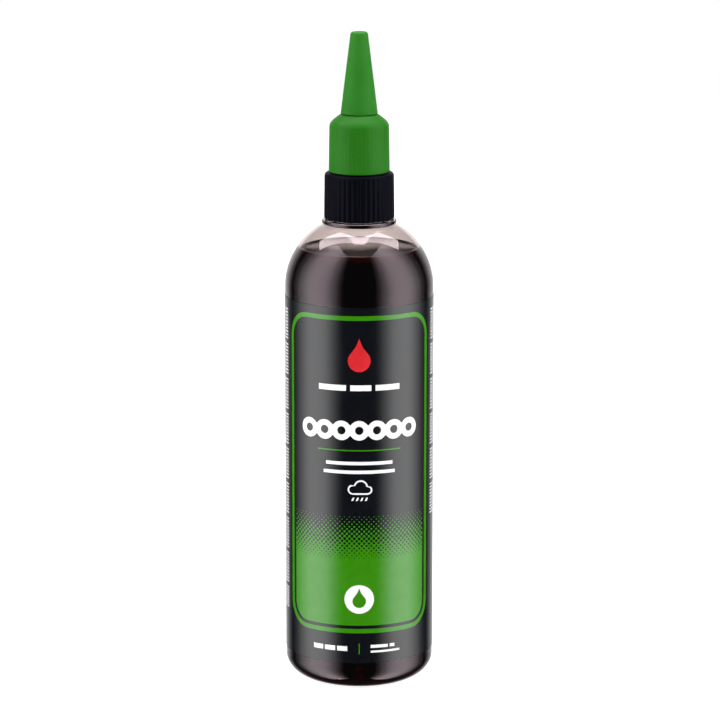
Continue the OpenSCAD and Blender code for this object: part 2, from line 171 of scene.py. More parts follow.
def mottle(tree, scale, detail=4.0, stretch=(1, 1, 1)):
    """Noise on the object's own coordinates."""
    place = tree.nodes.new("ShaderNodeTexCoord")
    mapping = tree.nodes.new("ShaderNodeMapping")
    mapping.inputs["Scale"].default_value = stretch
    noise = tree.nodes.new("ShaderNodeTexNoise")
    noise.inputs["Scale"].default_value = scale
    noise.inputs["Detail"].default_value = detail
    tree.links.new(place.outputs["Object"], mapping.inputs["Vector"])
    tree.links.new(mapping.outputs["Vector"], noise.inputs["Vector"])
    return noise.outputs["Fac"]


def relief(tree, shader, fac, strength, depth):
    """Bumps the surface by a mask; depth is in metres."""
    bump = tree.nodes.new("ShaderNodeBump")
    bump.inputs["Strength"].default_value = strength
    bump.inputs["Distance"].default_value = depth
    tree.links.new(fac, bump.inputs["Height"])
    tree.links.new(bump.outputs["Normal"], shader.inputs["Normal"])


def bottle_side(inset, top_r):
    """The side of the bottle from the base's centre up to the neck, set in from its outside."""
    flat_r = body_r - heel_in - foot_w
    base = [(flat_r * t, inset + push_up * (1 - t * t) * (1 - t * t / 2)) for t in
            [i / base_steps for i in range(base_steps + 1)]]
    heel = bow(body_r - heel_in, heel_h, heel_in - inset, heel_h - inset, -90, 0, heel_steps)
    turn_in = math.degrees(math.acos(top_r / (body_r - inset)))
    dome = bow(0, side_top, body_r - inset, shoulder_rise - inset, 0, turn_in, dome_steps)
    return base + heel + dome


neck = eased([(throat_r, bead_bottom), (bead_r, bead_bottom), (bead_r, bead_top),
              (neck_r, bead_top), (neck_r, neck_top), (bore_r, neck_top)],
             {0: throat_edge, 1: bead_edge, 2: bead_edge, 3: neck_edge, 4: neck_edge, 5: throat_edge})
shell = turned(bottle_side(0, throat_r) + neck + bottle_side(wall, bore_r)[::-1], round_steps)
thread = wound(neck_r - thread_sink, thread_r, thread_root_w + thread_sink * flank, thread_tip_w,
               neck_thread_z, pitch, 0, 360 * neck_turns, run_out)
shell = worked(shell, thread, "UNION")
nub = turned([(0, push_up - nub_h), (nub_r - nub_edge, push_up - nub_h), (nub_r, push_up - nub_h / 2),
              (nub_r, push_up + wall / 2), (0, push_up + wall / 2)], nub_steps)
shell = worked(shell, nub, "UNION")

clear_pet, tree, shader = surface("clear_pet", (0.985, 0.975, 0.97), 0.015,
                                  Transmission_Weight=1.0, IOR=1.57,
                                  Specular_Tint=(1.0, 0.8, 0.88, 1.0))
ripple = mottle(tree, scale=38, detail=2, stretch=(1, 1, 0.35))
relief(tree, shader, ripple, strength=0.25, depth=0.0004)
finished(shell, "blown_bottle", [clear_pet], "bottle", "clear_bottle", "bottle", crease=30)

# Oil
# Dark red-brown chain oil fills the bottle up into its shoulder. It wets
# the wall, so its surface climbs where it meets the plastic, and a thin
# film of it stays on the inside above.
oil_level, wetting, climb, residue = 169.0, 0.08, 0.35, 0.1
wet_top_r, residue_top_r = bore_r + 1.5, bore_r + 1.8
rim_gap, meniscus_w, meniscus_steps, level_rings = 0.1, 1.8, 8, 4
wet_wall = bottle_side(wall - wetting, wet_top_r)
residue_side = [p for p in bottle_side(wall + residue, residue_top_r) if p[1] > oil_level + climb]
rim_r = residue_side[0][0]
meniscus = [(rim_r - rim_gap - meniscus_w * t, oil_level + climb * (1 - t) ** 3) for t in
            [i / meniscus_steps for i in range(meniscus_steps + 1)]]
level = [(rim_r * k / level_rings, oil_level) for k in range(level_rings - 1, -1, -1)]
oil = turned(wet_wall + residue_side[::-1] + meniscus + level, round_steps)

chain_oil, tree, shader = surface("chain_oil", (1.0, 0.93, 0.92), 0.0,
                                  Transmission_Weight=1.0, IOR=1.47,
                                  Specular_Tint=(1.0, 0.7, 0.75, 1.0))
depth = tree.nodes.new("ShaderNodeVolumeAbsorption")
depth.inputs["Color"].default_value = (0.82, 0.2, 0.12, 1)
depth.inputs["Density"].default_value = 450.0
tree.links.new(depth.outputs["Volume"], tree.nodes["Material Output"].inputs["Volume"])
finished(oil, "chain_oil", [chain_oil], "bottle", "dark_oil", "lube_oil", crease=30)

# Label
# One sheet of glossy black film is wrapped round the straight side, with
# its end glued over its start at the back. Its edges are cut, not rolled.
film_t, label_bottom, label_top = 0.15, 12.2, 151.4
film_r = body_r + film_t
film_sink, cut_in, cut_down, film_steps = 0.04, 0.04, 0.05, 192
overlap_w, flap_sink, flap_steps, back = 6.0, 0.05, 6, 90
overlap = math.degrees(overlap_w / film_r)
film = turned([(body_r - film_sink, label_bottom), (film_r - cut_in, label_bottom),
               (film_r, label_bottom + cut_down), (film_r, label_top - cut_down),
               (film_r - cut_in, label_top), (body_r - film_sink, label_top)], film_steps)
flap = turned([(film_r - flap_sink, label_bottom), (film_r + film_t, label_bottom),
               (film_r + film_t, label_top), (film_r - flap_sink, label_top)],
              flap_steps, back - overlap / 2, overlap)
film = worked(film, flap, "UNION")


def spread(tree, fac, low, high, socket, first=0.3, last=0.7):
    """Runs the middle of a mask over a range of values or colours into a socket."""
    if isinstance(low, tuple):
        ramp = tree.nodes.new("ShaderNodeValToRGB")
        for element, at, colour in zip(ramp.color_ramp.elements, (first, last), (low, high)):
            element.position, element.color = at, (*colour, 1)
        tree.links.new(fac, ramp.inputs["Fac"])
        tree.links.new(ramp.outputs["Color"], socket)
    else:
        ramp = tree.nodes.new("ShaderNodeMapRange")
        for place, value in (("From Min", first), ("From Max", last), ("To Min", low), ("To Max", high)):
            ramp.inputs[place].default_value = value
        tree.links.new(fac, ramp.inputs["Value"])
        tree.links.new(ramp.outputs["Result"], socket)


def gloss_print(name, low, high, roughness=0.14, uneven=0.03):
    """A printed colour under the film's varnish, with its faint unevenness."""
    material, tree, shader = surface(name, low, roughness)
    spread(tree, mottle(tree, scale=260), low, high, shader.inputs["Base Color"])
    spread(tree, mottle(tree, scale=90, detail=3), roughness - uneven, roughness + uneven,
           shader.inputs["Roughness"])
    relief(tree, shader, mottle(tree, scale=420, detail=2), strength=0.12, depth=0.00005)
    return material


black_film = gloss_print("black_film", (0.0028, 0.0033, 0.005), (0.0036, 0.0042, 0.0062))
finished(film, "wrapped_film", [black_film], "bottle", "black_film", "label_film")

# Green ink
# The front is printed with a rounded frame line, a filled panel whose upper
# edge fades away in a screen of dots, a thin rule and a small divider.
ink_t, ink_fill, ink_weld = 0.06, 0.8, 1e-7
frame_half, frame_bottom, frame_top, frame_w, frame_r = 31.8, 24.2, 148.2, 1.75, 10.0
panel_gap, panel_top, fade_top, panel_corner = 1.3, 53.0, 71.3, 0.01
rule_half, rule_z, rule_h = 16.5, 96.2, 0.5
divider_half, divider_z, divider_h = 0.2, 18, 4.2
dot_pitch, dot_row, dot_sides = 1.87, 0.95, 8
dot_middle_r, dot_end_r = 0.55, 0.14


def field(half, low, high, r_low, r_high, steps=10):
    """Outline of a field with round corners, in arc length and height."""
    corners = ((half - r_low, low + r_low, r_low, -90), (half - r_high, high - r_high, r_high, 0),
               (r_high - half, high - r_high, r_high, 90), (r_low - half, low + r_low, r_low, 180))
    return [point for x, z, r, start in corners for point in bow(x, z, r, r, start, start + 90, steps)]


def stroke(left, right, z, height):
    """Outline of a plain bar."""
    low, high = z - height / 2, z + height / 2
    return [(left, low), (right, low), (right, high), (left, high)]


def disc(x, z, r, sides):
    """Outline of a round dot."""
    return bow(x, z, r, r, 0, 360 - 360 / sides, sides - 1)


def patch(bm, outline, hole=None):
    """Adds a flat patch of ink; with a hole of as many points, a ring is bridged between them."""
    lines = [outline, hole or []]
    loops = [[bm.verts.new((x * mm, 0, z * mm)) for x, z in line] for line in lines]
    if not hole:
        return bm.faces.new(loops[0])
    edges = [bm.edges.new(pair) for line in loops for pair in zip(line, line[1:] + line[:1])]
    return bmesh.ops.bridge_loops(bm, edges=edges)


def wrapped(bm, layer, reach, step=1.2):
    """Cuts flat ink into strips, lays it round the film and gives it its thickness."""
    cuts = int(reach / step)
    for i in range(-cuts, cuts + 1):
        bmesh.ops.bisect_plane(bm, geom=bm.verts[:] + bm.edges[:] + bm.faces[:], dist=ink_weld,
                               plane_co=(i * step * mm, 0, 0), plane_no=(1, 0, 0))
    outside = (film_r + layer * ink_t) * mm
    for v in bm.verts:
        turn = v.co.x / (film_r * mm)
        v.co.x, v.co.y = outside * math.sin(turn), -outside * math.cos(turn)
    for face in bm.faces:
        face.normal_update()
        if face.normal.xy.dot(face.calc_center_median().xy) < 0:
            face.normal_flip()
    bmesh.ops.solidify(bm, geom=bm.faces[:], thickness=ink_t * ink_fill * mm)
    return bm


green = bmesh.new()
patch(green, field(frame_half, frame_bottom, frame_top, frame_r, frame_r),
      field(frame_half - frame_w, frame_bottom + frame_w, frame_top - frame_w,
            frame_r - frame_w, frame_r - frame_w))
panel_in = frame_w + panel_gap
panel_half = frame_half - panel_in
fade_middle = (panel_top + fade_top) / 2
patch(green, field(panel_half, frame_bottom + panel_in, fade_middle, frame_r - panel_in, panel_corner))
patch(green, stroke(-rule_half, rule_half, rule_z, rule_h))
patch(green, stroke(-divider_half, divider_half, divider_z, divider_h))
wrapped(green, 1, frame_half)


def screen(way):
    """Rows of staggered round dots that shrink from the middle of the fade, up or down."""
    bm = bmesh.new()
    rows = int((fade_top - fade_middle) / dot_row)
    across = int(panel_half / dot_pitch) + 1
    for row in range(rows):
        z = fade_middle + way * (row + 0.5) * dot_row
        r = dot_middle_r + (dot_end_r - dot_middle_r) * row / rows
        for i in range(-across, across + 1):
            x = (i + 0.5 * (row % 2)) * dot_pitch
            if abs(x) + r < panel_half:
                patch(bm, disc(x, z, r, dot_sides))
    return bm


green_ink = gloss_print("green_ink", (0.028, 0.19, 0.0005), (0.033, 0.215, 0.0012))
finished(green, "green_frame_and_panel", [green_ink], "bottle", "green_ink", "green_print")
dots = wrapped(screen(1), 1, 0)
finished(dots, "green_screen_dots", [green_ink], "bottle", "green_ink")
gaps = wrapped(screen(-1), 2, 0)
finished(gaps, "black_screen_dots", [black_film], "bottle", "black_film")

# White ink
# White is printed over the black: a stretch of chain with round eyes, plain
# bars, a rain cloud, a round badge with a drop, and marks at the foot.
chain_z, chain_pitch, link_r, eye_r, waist = 104.0, 6.8, 3.8, 1.6, 2.09
last_link, link_sides, least = 3, 48, 0.01
cloud_foot, cloud_line = (-2.5, 79), 0.6
cloud_puffs = ((3.2, 80.8, 1.8, -90, 50, 8), (0.6, 82, 2.7, 5, 165, 12), (-2.4, 81, 2, 120, 260, 8))
rain_starts = (-2.7, -1, 0.7, 2.4)
rain_drop = ((-0.3, 76.5), (0.5, 76.7), (0.9, 77.9), (0.2, 77.8))
badge_z, badge_r, badge_drop_down, badge_drop_r, badge_points = 37.7, 5.7, 0.8, 2.6, 23
badge_start, badge_end, white_reach = 150, 495, 26

# Each bar has its left and right end, the height of its middle and its
# thickness.
bars = ((-16, -5, 120.5, 2.2), (-3.4, 4.6, 120.5, 2.2), (6.2, 16, 120.5, 2.2),
        (-13, 13, 91.2, 1.3), (-14, 14, 87.8, 1.3),
        (-18.6, -14.4, 18, 1.9), (-13.6, -9.4, 18, 1.9), (-8.6, -4.6, 18, 1.9),
        (4.4, 11.2, 18.9, 1.2), (12, 14, 18.9, 1.2), (4.4, 16.2, 16.8, 0.8))


def drop(x, z, r, steps=20):
    """Outline of a drop: a round lower part drawn up to a point."""
    slim, rise = r * 0.3, r * 1.25
    return (bow(x, z, r, r, 150, 390, steps - 2)
            + [(x + slim, z + rise), (x, z + 2 * r), (x - slim, z + rise)])


def cloud(inset):
    """Outline of a cloud with a flat foot, set in for its inner line."""
    outline = [(cloud_foot[0], cloud_foot[1] + inset)]
    for x, z, r, start, end, steps in cloud_puffs:
        outline += bow(x, z, r - inset, r - inset, start, end, steps)
    return outline


white = bmesh.new()
for link in range(-last_link, last_link + 1):
    edge = []
    for step in range(link_sides):
        a = math.radians(step * 360 / link_sides)
        c, s = abs(math.cos(a)), max(abs(math.sin(a)), least)
        next_link = link + (1 if math.cos(a) > 0 else -1)
        r = link_r
        if abs(next_link) <= last_link:
            r = min(max(link_r, waist / s), chain_pitch / 2 / max(c, least))
        edge.append((link * chain_pitch + r * math.cos(a), chain_z + r * math.sin(a)))
    patch(white, edge, disc(link * chain_pitch, chain_z, eye_r, link_sides))
for bar in bars:
    patch(white, stroke(*bar))
patch(white, cloud(0), cloud(cloud_line))
for start in rain_starts:
    patch(white, [(start + x, z) for x, z in rain_drop])
badge = bow(0, badge_z, badge_r, badge_r, badge_start, badge_end, badge_points - 1)
patch(white, badge, drop(0, badge_z - badge_drop_down, badge_drop_r, badge_points - 2))
wrapped(white, 2, white_reach)
white_ink = gloss_print("white_ink", (0.8, 0.8, 0.79), (0.86, 0.86, 0.86), roughness=0.25)
finished(white, "white_print_front", [white_ink], "bottle", "white_ink", "white_print")

# Red ink
# One red drop stands at the head of the label. It is printed over the
# black, as the white is.
drop_z, drop_r, drop_steps = 131.0, 4.3, 30
red = bmesh.new()
patch(red, drop(0, drop_z, drop_r, drop_steps))
wrapped(red, 2, drop_r)
red_ink = gloss_print("red_ink", (0.55, 0.012, 0.018), (0.62, 0.016, 0.022), roughness=0.25)
finished(red, "red_drop", [red_ink], "bottle", "red_ink", "red_print")

# Side text
# Both sides of the label carry columns of small print, drawn as plain
# strokes in blocks of ten rows.
rows_right, rows_left = (147, 64), (147, 28)
row_pitch, stroke_h, block_rows = 1.25, 0.42, 11
column_start, column_end, side_step = 35.6, 62.0, 2.4
word_short, word_more, word_least, word_gap = 1.4, 3.1, 0.7, 0.55
words_a_row, words_ahead, shuffle = 7, 3, 0.618
small_print = bmesh.new()
for side, (high, low) in ((1, rows_right), (-1, rows_left)):
    for row in range(int((high - low) / row_pitch)):
        z = high - row * row_pitch
        if row % block_rows == block_rows - 1:
            continue
        at = column_start
        word = row * words_a_row + (words_ahead if side > 0 else 0)
        while at < column_end:
            word += 1
            length = word_short + word_more * ((word * shuffle) % 1)
            end = min(at + length, column_end)
            if end - at > word_least:
                patch(small_print, stroke(side * at, side * end, z, stroke_h)[::side])
            at += length + word_gap
wrapped(small_print, 1, column_end, side_step)
finished(small_print, "small_print_strokes", [white_ink], "bottle", "white_ink")

# Screw cap
# The cap is moulded in black polypropylene: a ribbed skirt with a thread
# inside, a deck with four ports, a slotted boss with a snap bead for the
# collar, and a post whose plug shuts the nozzle.
cap_bottom, cap_r, cap_top_r, cap_root_r = 180.906, 13.43, 13.25, 12.2
cap_ribs, rib_h, cap_edge_r, cap_edge_steps = 40, 0.38, 1.3, 8
rim_edge, rim_soft, rim_in = 0.4, 0.1, 0.2
ribs_from, ribs_above = 0.3, 0.1
groove = (0, 0.12, 0.5, 0.88, 1, 0.88, 0.5, 0.12)
rib_steps, crest = len(groove), 0.02
deck_bottom, deck_top = 197.206, 198.506
boss_r, boss_bore_r, boss_top = 8.6, 7.3, 211.906
snap_h, snap_bottom, snap_t, snap_slope = 0.6, 200.706, 1.2, 0.3
post_r, plug_r, plug_top, plug_edge = 2.4, 1.65, 214.106, 0.4
partition_z = 211.906
plug_foot, post_top = partition_z - 1, partition_z - 2.4
port_n, port_r, port_h, port_turn, port_sides = 4, 1.1, 4, 45, 24
key_bottom, key_h, key_w, clear_gap = 202.506, 4.6, 5.0, 0.3
slot_deep, slot_high, slot_out = 4, 14, 8
cap_thread_z = neck_thread_z - pitch / 4
cap_thread_start, cap_thread_turn, cap_thread_short = 90, 450, 0.1

cap_profile = [
    (0, plug_top), (plug_r - plug_edge, plug_top), (plug_r, plug_top - plug_edge), (plug_r, plug_foot),
    (post_r, post_top), (post_r, deck_top), (boss_bore_r, deck_top),
    (boss_bore_r, boss_top), (boss_r, boss_top), (boss_r, snap_bottom + snap_t),
    (boss_r + snap_h, snap_bottom + snap_t - snap_slope), (boss_r + snap_h, snap_bottom),
    (boss_r, snap_bottom), (boss_r, deck_top)]
skirt_top = deck_top - cap_edge_r
skirt_drop = cap_bottom + rim_edge - deck_top + cap_edge_r
cap_profile += bow(cap_top_r - cap_edge_r, skirt_top, cap_edge_r, cap_edge_r, 90, 0, cap_edge_steps)
cap_profile += [(cap_top_r + (cap_r - cap_top_r) * t, skirt_top + skirt_drop * t) for t in
                (0.03, 0.5, 0.97, 1)]
cap_profile += [(cap_r - rim_soft, cap_bottom + rim_soft), (cap_r - rim_edge, cap_bottom),
                (cap_root_r + rim_in, cap_bottom), (cap_root_r, cap_bottom + rim_in),
                (cap_root_r, deck_bottom), (0, deck_bottom)]
cap = turned(cap_profile, cap_ribs * rib_steps)
for v in cap.verts:
    r = v.co.xy.length / mm
    if r > cap_root_r + ribs_from and v.co.z < (deck_top + ribs_above) * mm:
        step = round(math.degrees(math.atan2(v.co.y, v.co.x)) * cap_ribs * rib_steps / 360) % rib_steps
        v.co.xy *= min(1, (cap_r + crest - rib_h * groove[step]) / r)
ports = bmesh.new()
for i in range(port_n):
    drill = bmesh.ops.create_cone(ports, cap_ends=True, segments=port_sides, radius1=port_r * mm,
                                  radius2=port_r * mm, depth=port_h * mm)["verts"]
    out = Vector(((post_r + boss_bore_r) / 2 * mm, 0, deck_bottom * mm))
    turn = Matrix.Rotation(math.radians(port_turn + 360 / port_n * i), 3, "Z")
    bmesh.ops.translate(ports, verts=drill, vec=turn @ out)
for side in (-1, 1):
    slot = bmesh.ops.create_cube(ports, size=1)["verts"]
    slot_size = Vector((slot_deep, key_w + 2 * clear_gap, slot_high))
    slot_place = Vector((side * slot_out, 0, key_bottom - clear_gap + slot_high / 2))
    bmesh.ops.scale(ports, verts=slot, vec=slot_size * mm)
    bmesh.ops.translate(ports, verts=slot, vec=slot_place * mm)
cap = worked(cap, ports, "DIFFERENCE")
thread = wound(cap_root_r + thread_sink, neck_r + thread_gap + cap_thread_short,
               pitch - thread_tip_w - 2 * thread_gap + thread_sink * flank,
               pitch - thread_root_w - 2 * thread_gap + thread_gap * flank,
               cap_thread_z, pitch, cap_thread_start, cap_thread_turn, run_out)
cap = worked(cap, thread, "UNION")


def satin_moulding(name, low, high, roughness, level, uneven=0.05):
    """Moulded polypropylene: faint cloudiness, uneven sheen and a fine grain from the tool."""
    material, tree, shader = surface(name, low, roughness, Specular_IOR_Level=level)
    clouds = mottle(tree, scale=140, detail=3, stretch=(1, 1, 0.4))
    spread(tree, clouds, low, high, shader.inputs["Base Color"])
    spread(tree, mottle(tree, scale=300, detail=4), roughness - uneven, roughness + uneven,
           shader.inputs["Roughness"])
    relief(tree, shader, mottle(tree, scale=1800, detail=5), strength=0.35, depth=0.00003)
    return material


black_moulding = satin_moulding("black_moulding", (0.0017, 0.0017, 0.0042), (0.0023, 0.0023, 0.0052),
                                roughness=0.42, level=0.024)
finished(cap, "ribbed_screw_cap", [black_moulding], "cap", "black_plastic", "screw_cap")

# Cap liner
# A washer of soft foamed plastic is pressed up into the cap, and seals on
# the neck's rim.
liner_edge, washer_steps = 0.15, 96
liner = turned(eased([(bore_r, neck_top), (cap_root_r - clear_gap, neck_top),
                      (cap_root_r - clear_gap, deck_bottom), (bore_r, deck_bottom)],
                     dict.fromkeys(range(4), liner_edge)), washer_steps)
foam, tree, shader = surface("liner_foam", (0.68, 0.68, 0.64), 0.8)
spread(tree, mottle(tree, scale=1500, detail=3), (0.62, 0.62, 0.58), (0.72, 0.72, 0.68),
       shader.inputs["Base Color"])
relief(tree, shader, mottle(tree, scale=3000, detail=3), strength=0.5, depth=0.00008)
finished(liner, "foam_washer", [foam], "liner", "liner_foam", "cap_liner")

# Twist collar
# The green collar snaps over the boss and is turned to open the spout. Its
# side has fine upright grip lines, and two helical ribs inside lift the
# nozzle's keys.
collar_bottom, collar_side, collar_top = 198.906, 217.506, 220.806
collar_r, collar_top_r, collar_bore_r, collar_wall = 11.65, 11.35, 10.3, 1.35
collar_edge, shoulder_r, shoulder_steps = 0.3, 2.6, 8
mouth_r, hole_r, flange_h, slope_in = 7.1, 5.9, 1.5, 0.6
mouth_soft, inner_edges = 0.1, {1: 0.5, 2: 0.15, 3: 0.1, 7: 0.15, 8: 0.2}
grip_n, grip_h, grip_steps = 46, 0.08, 6
grip_low, grip_high = collar_bottom + 0.6, collar_side - 1
nozzle_lift, twist_angle, cam_margin = 3.0, 100, 20
cam_r, cam_w, cam_z, cam_run_out = 9.2, 1.4, 204.806, 6
cam_rise = -360 * nozzle_lift / twist_angle

side_line = [(collar_r + (collar_top_r - collar_r) * t,
              collar_bottom + collar_edge + (collar_side - collar_bottom - collar_edge) * t)
             for t in (0, 0.03, 0.06, 0.5, 0.8, 0.84, 1)]
collar_profile = [(collar_r - collar_edge, collar_bottom)] + side_line
shoulder = {len(collar_profile) - 1: shoulder_r}
collar_profile = eased(collar_profile + [(mouth_r + mouth_soft, collar_top)], shoulder,
                       shoulder_steps)[:-1]
collar_profile += eased([collar_profile[-1], (mouth_r, collar_top), (hole_r, collar_top),
                         (hole_r, collar_top - collar_wall),
                         (hole_r + slope_in, collar_top - collar_wall),
                         (collar_bore_r, collar_side - slope_in),
                         (collar_bore_r, collar_bottom + flange_h),
                         (boss_r + clear_gap, collar_bottom + flange_h),
                         (boss_r + clear_gap, collar_bottom)], inner_edges)[1:]
collar = turned(collar_profile, grip_n * grip_steps)
for v in collar.verts:
    r, z = v.co.xy.length / mm, v.co.z / mm
    step = round(math.degrees(math.atan2(v.co.y, v.co.x)) * grip_n * grip_steps / 360) % grip_steps
    if r > collar_bore_r + slope_in and grip_low < z < grip_high and step == grip_steps / 2:
        v.co.xy *= (r - grip_h) / r
for start in (0, 180):
    rib = wound(collar_bore_r + thread_sink, cam_r, cam_w, cam_w,
                cam_z + nozzle_lift * (twist_angle + cam_margin) / twist_angle,
                cam_rise, start - twist_angle - cam_margin,
                twist_angle + 2 * cam_margin, cam_run_out)
    collar = worked(collar, rib, "UNION")
# The collar's green is a darker copy of the nozzle and cover's green plastic: painted shade for its
# upright side, which gets less light from above than the cone.
shaded_green_moulding = satin_moulding("shaded_green_moulding", (0.015, 0.122, 0.006), (0.018, 0.138, 0.008),
                            roughness=0.42, level=0.07)
finished(collar, "grooved_twist_collar", [shaded_green_moulding], "collar", "green_plastic", "twist_collar")

# Nozzle
# The nozzle slides in the boss on two keys. A partition inside it has the
# hole that the plug shuts, and above it a slender tube leads to the tip.
sleeve_r, sleeve_bore_r, sleeve_top = 7.2, 5.9, 211.506
partition_t, grip_r, slide_gap = 1.6, 5.6, 0.1
tube_bottom, tube_r, tube_bore_r, nozzle_steps = 224.206, 3.4, 2.3, 96
tip_z, tip_r, tip_bore_r, tip_bore_h = 248.556, 1.7, 0.9, 3
grip_top = tube_bottom + 0.5
key_r, key_sink, key_steps, foot_z = 10.0, 0.6, 8, key_bottom - 0.4
nozzle_edges = {1: 0.2, 2: 0.2, 3: 0.3, 4: 0.6, 5: 0.5, 6: 0.3, 7: 0.15}
way_w, way_turn, way_run_out = cam_w + 2 * clear_gap, 2 * cam_margin, 1
nozzle = turned(eased([
    (sleeve_bore_r, foot_z), (sleeve_r, foot_z), (sleeve_r, sleeve_top),
    (grip_r, partition_z + partition_t), (grip_r, grip_top), (tube_r, grip_top),
    (tip_r, tip_z), (tip_bore_r, tip_z), (tip_bore_r, tip_z - tip_bore_h), (tube_bore_r, tube_bottom),
    (tube_bore_r, partition_z + partition_t), (plug_r + slide_gap, partition_z + partition_t),
    (plug_r + slide_gap, partition_z), (sleeve_bore_r, partition_z)], nozzle_edges), nozzle_steps)
half_key = math.degrees(math.asin(key_w / 2 / key_r))
for start in (0, 180):
    key = turned([(sleeve_r - key_sink, key_bottom), (key_r, key_bottom), (key_r, key_bottom + key_h),
                  (sleeve_r - key_sink, key_bottom + key_h)], key_steps, start - half_key, 2 * half_key)
    nozzle = worked(nozzle, key, "UNION")
for start in (0, 180):
    way = wound(collar_r, cam_r - clear_gap, way_w, way_w,
                cam_z + nozzle_lift * way_turn / twist_angle, cam_rise,
                start - way_turn, 2 * way_turn, way_run_out)
    nozzle = worked(nozzle, way, "DIFFERENCE")
green_moulding = satin_moulding("green_moulding", (0.021, 0.154, 0.013), (0.025, 0.172, 0.016),
                                roughness=0.5, level=0.06)
finished(nozzle, "keyed_nozzle", [green_moulding], "spout", "green_plastic", "nozzle")

# Nozzle cover
# A slender closed cone in the same green plastic grips the nozzle's neck,
# and pulls straight off. It is blunt at the top.
cover_bottom, cover_top, cover_wall = 221.056, 252.006, 1.05
cover_r, cover_tip_r, cover_edge_r, cover_steps = 7.06, 3.35, 0.9, 128
dish, dish_edge, tip_flat, tip_arc_end, tip_arc_steps = 0.12, 0.1, 0.5, 7, 8
foot_edge, foot_soft, foot_lip, lead_in, roof_slope = 0.2, 0.06, 0.05, 0.1, 0.4
land_top = grip_top + clear_gap
tip_arc_r, roof_z = cover_tip_r - cover_edge_r, cover_top - cover_wall
cover_profile = [(0, cover_top - dish), (tip_arc_r - tip_flat, cover_top - dish_edge)]
cover_profile += bow(tip_arc_r, cover_top - cover_edge_r, cover_edge_r, cover_edge_r,
                     90, tip_arc_end, tip_arc_steps)
cover_profile += [(cover_r, cover_bottom + foot_edge), (cover_r - foot_soft, cover_bottom + foot_lip),
                  (cover_r - foot_edge, cover_bottom), (grip_r + slide_gap + lead_in, cover_bottom),
                  (grip_r + slide_gap, cover_bottom + lead_in), (grip_r + slide_gap, land_top),
                  (cover_tip_r - cover_wall, roof_z - roof_slope),
                  (cover_tip_r - cover_wall - roof_slope, roof_z), (0, roof_z)]
cover = turned(cover_profile, cover_steps)
finished(cover, "cone_cover", [green_moulding], "cover", "green_plastic", "nozzle_cover")

# Studio table
# The bottle stands on a pale table that keeps its shadow and shows white to
# the camera and through the plastic. Mirrored rays pass the table, so that
# the gloss shows the lights down to the foot.
table_r, table_rim, table_sides, table_glow = 1.6, 0.4, 96, 0.88
table = bmesh.new()
bmesh.ops.create_circle(table, cap_ends=True, segments=table_sides, radius=table_r)
bmesh.ops.inset_region(table, faces=table.faces[:], thickness=table_rim)
table_mesh = bpy.data.meshes.new("pale_table")
table.to_mesh(table_mesh)
table.free()
pale_table = bpy.data.objects.new("pale_table", table_mesh)
bpy.context.scene.collection.objects.link(pale_table)
pale, tree, shader = surface("pale_table", (0.8, 0.8, 0.8), 0.7, Specular_IOR_Level=0.0)
shader.inputs["Emission Color"].default_value = (1, 1, 1, 1)
passing = tree.nodes.new("ShaderNodeBsdfTransparent")
path = tree.nodes.new("ShaderNodeLightPath")
viewed = tree.nodes.new("ShaderNodeMath")
viewed.operation = "MULTIPLY_ADD"
viewed.inputs[1].default_value = table_glow
tree.links.new(path.outputs["Is Camera Ray"], viewed.inputs[0])
through = tree.nodes.new("ShaderNodeMath")
through.operation = "MULTIPLY"
through.inputs[1].default_value = table_glow
tree.links.new(path.outputs["Is Transmission Ray"], through.inputs[0])
tree.links.new(through.outputs["Value"], viewed.inputs[2])
tree.links.new(viewed.outputs["Value"], shader.inputs["Emission Strength"])
either = tree.nodes.new("ShaderNodeMath")
either.operation = "MAXIMUM"
choice = tree.nodes.new("ShaderNodeMixShader")
tree.links.new(path.outputs["Is Glossy Ray"], either.inputs[0])
tree.links.new(path.outputs["Is Shadow Ray"], either.inputs[1])
tree.links.new(either.outputs["Value"], choice.inputs["Fac"])
tree.links.new(shader.outputs["BSDF"], choice.inputs[1])
tree.links.new(passing.outputs["BSDF"], choice.inputs[2])
tree.links.new(choice.outputs["Shader"], tree.nodes["Material Output"].inputs["Surface"])
table_mesh.materials.append(pale)

# Studio lights
# A tall soft light stands on each side and fades to its edges. Its lower
# part is only mirrored. A lamp overhead lights the bottle and isn't
# mirrored, and two slanted strips just under it are only mirrored.
near, far, stand_off, radiance = 22, 122, 0.8, 3.5
lamp_rows = ((-0.35, 1.25, True), (-1.6, -0.35, False))
glow = ((0.05, 0.0), (0.145, 0.11), (0.25, 0.41), (0.345, 0.83), (0.4, 0.96), (0.47, 1.0),
        (0.55, 0.95), (0.63, 0.65), (0.7, 0.38), (0.83, 0.08), (1.0, 0.0))
overhead, overhead_w, overhead_radiance = Vector((0, 0.14, 1.25)), 0.7, 7.5
strip_y, strip_z, strip_apart, strip_out = 0.12, 1.22, 0.01, 0.45
strip_length, strip_w, strip_radiance = 1.3, 0.46, 6.5
strip_side, strip_back = 0.94, 0.34
up = Vector((0, 0, 1))


def soft_light(middle, across, along, width, length, level):
    """An area light with its middle, its two directions, its size and its radiance."""
    lamp = bpy.data.lights.new("soft_light", "AREA")
    lamp.shape, lamp.size, lamp.size_y = "RECTANGLE", width, length
    lamp.energy = level * math.pi * width * length
    light = bpy.data.objects.new("soft_light", lamp)
    bpy.context.scene.collection.objects.link(light)
    turn = Matrix((across, along, across.cross(along))).transposed().to_4x4()
    light.matrix_world = Matrix.Translation(middle) @ turn
    light.visible_camera = light.visible_transmission = False
    return light


